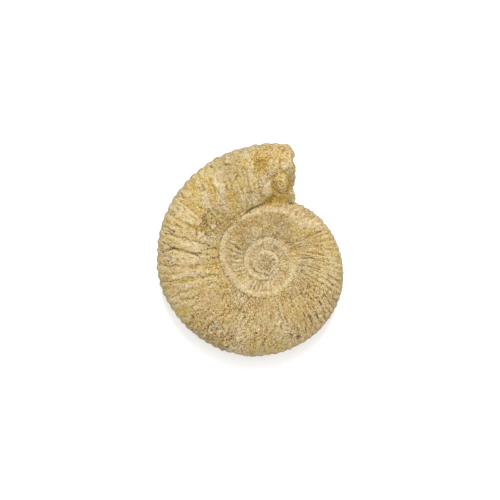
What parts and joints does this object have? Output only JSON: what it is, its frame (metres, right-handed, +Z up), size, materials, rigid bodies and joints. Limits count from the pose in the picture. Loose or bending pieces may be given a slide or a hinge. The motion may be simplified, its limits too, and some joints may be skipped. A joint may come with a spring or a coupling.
{
  "type": "ammonite fossil",
  "caption": "Loose ammonite fossil in cream limestone: a flat ribbed coil with a broken mouth, lying on its side as a display, teaching or paperweight stone.",
  "frame": {"origin": "on the surface the stone rests on, under the middle of its box in plan", "axes": "+Z up out of the flank that is in view, nearly along the coil's axis; +Y to the side where the coil's mouth lies, the longest way across the stone; +X the way the broken mouth faces"},
  "size_m": [0.0752, 0.0858, 0.0255],
  "materials": {
    "limestone": "matte"
  },
  "bodies": {
    "root": {"ammonite": "limestone"}
  },
  "joints": []
}
